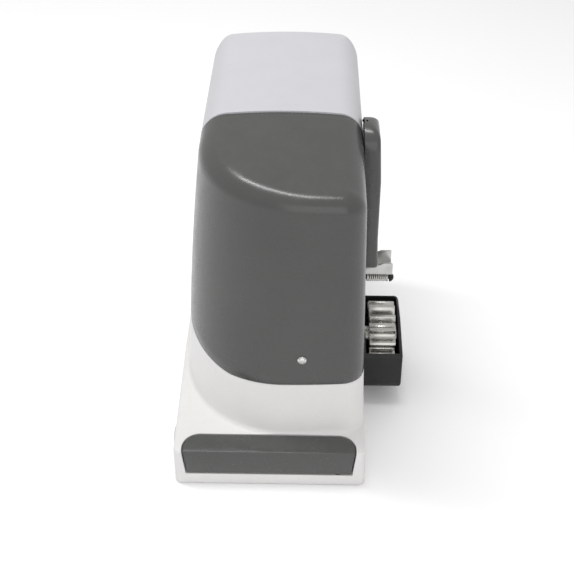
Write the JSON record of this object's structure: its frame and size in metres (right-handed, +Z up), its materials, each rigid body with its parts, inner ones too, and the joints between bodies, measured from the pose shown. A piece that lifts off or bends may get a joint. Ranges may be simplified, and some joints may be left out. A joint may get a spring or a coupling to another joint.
{
  "type": "sliding gate opener",
  "caption": "Rack-and-pinion gear motor that drives a sliding gate, with a release handle and a limit switch.",
  "frame": {"origin": "middle of the base's footprint, on the surface that it stands on", "axes": "+Z up, +X towards the gate and its rack, -Y towards the release handle"},
  "size_m": [0.2138, 0.33, 0.302],
  "materials": {
    "light_paint": "satin textured coat",
    "light_plastic": "fine grain",
    "dark_plastic": "satin, fine grain",
    "black_plastic": "moulded",
    "rubber": "matt",
    "steel": "machined",
    "chrome": "bright plated",
    "cast_aluminium": "as cast",
    "bronze": "machined bronze",
    "copper": "enamelled copper wire",
    "board_resin": "solder resist",
    "green_plastic": "moulded",
    "blue_plastic": "moulded",
    "red_plastic": "moulded"
  },
  "bodies": {
    "base": {"base_housing": "light_paint", "pinion_guard": "black_plastic", "motor_can": "black_plastic", "board_tray": "black_plastic", "fuse_holder": "black_plastic", "capacitor": "black_plastic", "button_block": "black_plastic", "limit_microswitch_1": "black_plastic", "limit_microswitch_2": "black_plastic", "cable_grommet": "rubber", "shaft_seal": "rubber", "transformer_pad": "rubber", "shaft_bearing_inner": "steel", "shaft_bearing_outer": "steel", "worm_bearing_lower": "steel", "worm_bearing_upper": "steel", "transformer_clamp": "steel", "handle_pin": "steel", "release_spring": "steel", "lock_cover_rivet": "steel", "case_screw_1": "steel", "case_screw_2": "steel", "case_screw_3": "steel", "case_screw_4": "steel", "guard_screw_1": "chrome", "guard_screw_2": "chrome", "limit_bracket": "chrome", "lock_body": "chrome", "gear_case": "cast_aluminium", "gear_case_cover": "cast_aluminium", "motor_end_bell": "cast_aluminium", "rod_bush": "bronze", "transformer": "copper", "control_board": "board_resin", "terminal_block_left": "green_plastic", "terminal_block_right": "green_plastic", "relay_left": "blue_plastic", "relay_right": "blue_plastic"},
    "hood": {"hood": "light_plastic", "hood_screw": "chrome", "limit_switch_housing": "dark_plastic"},
    "front_cover": {"front_cover": "dark_plastic", "cover_screw": "chrome"},
    "release_handle": {"release_handle": "dark_plastic"},
    "release_rod": {"release_rod": "steel"},
    "lock_barrel": {"lock_barrel": "chrome"},
    "lock_cover": {"lock_cover": "light_plastic"},
    "output": {"pinion": "steel", "pinion_screw": "steel", "output_shaft": "steel", "worm_wheel": "bronze"},
    "worm": {"worm_shaft": "steel", "rotor_core": "copper", "encoder_disc": "black_plastic"},
    "limit_lever": {"limit_lever_core": "black_plastic", "limit_spring": "steel", "limit_lever_tip": "rubber"},
    "open_button": {"open_button": "steel"},
    "stop_button": {"stop_button": "red_plastic"},
    "close_button": {"close_button": "steel"}
  },
  "joints": [
    {"name": "hood_lift", "type": "slide", "parent": "base", "child": "hood", "axis": [0, 0, 1], "range_m": [0, 0.25]},
    {"name": "front_cover_lift", "type": "slide", "parent": "hood", "child": "front_cover", "axis": [0, 0, 1], "range_m": [0, 0.25]},
    {"name": "handle_swing", "type": "hinge", "parent": "base", "child": "release_handle", "pos_m": [0.0619, -0.1596, 0.024], "axis": [0, 0, 1], "range_deg": [0, 90]},
    {"name": "release_rod_travel", "type": "slide", "parent": "base", "child": "release_rod", "axis": [0, 1, 0], "range_m": [-0.0061, 0.0001], "deforming": ["release_spring"]},
    {"name": "lock_turn", "type": "hinge", "parent": "base", "child": "lock_barrel", "pos_m": [-0.075, -0.132, 0.024], "axis": [-1, 0, 0], "range_deg": [0, 75]},
    {"name": "lock_cover_swing", "type": "hinge", "parent": "base", "child": "lock_cover", "pos_m": [-0.0873, -0.117, 0.024], "axis": [1, 0, 0], "range_deg": [0, 120]},
    {"name": "pinion_turn", "type": "hinge", "parent": "base", "child": "output", "pos_m": [0.035, -0.015, 0.056], "axis": [1, 0, 0], "continuous": true},
    {"name": "worm_turn", "type": "hinge", "parent": "base", "child": "worm", "pos_m": [0.035, 0.031, 0.056], "axis": [0, 0, 1], "continuous": true},
    {"name": "limit_lever_tilt", "type": "hinge", "parent": "base", "child": "limit_lever", "pos_m": [0.08, -0.015, 0.127], "axis": [0, 0, 1], "range_deg": [-20, 20], "stiffness_Nm_per_rad": 0.15},
    {"name": "open_button_press", "type": "slide", "parent": "base", "child": "open_button", "axis": [0, 1, 0], "range_m": [0, 0.0009], "stiffness_N_per_m": 400},
    {"name": "stop_button_press", "type": "slide", "parent": "base", "child": "stop_button", "axis": [0, 1, 0], "range_m": [0, 0.0009], "stiffness_N_per_m": 400},
    {"name": "close_button_press", "type": "slide", "parent": "base", "child": "close_button", "axis": [0, 1, 0], "range_m": [0, 0.0009], "stiffness_N_per_m": 400}
  ],
  "couplings": [
    {"joint": "worm_turn", "follows": "pinion_turn", "ratio": -36},
    {"joint": "release_rod_travel", "follows": "handle_swing", "m_per_rad": -0.0038197}
  ]
}
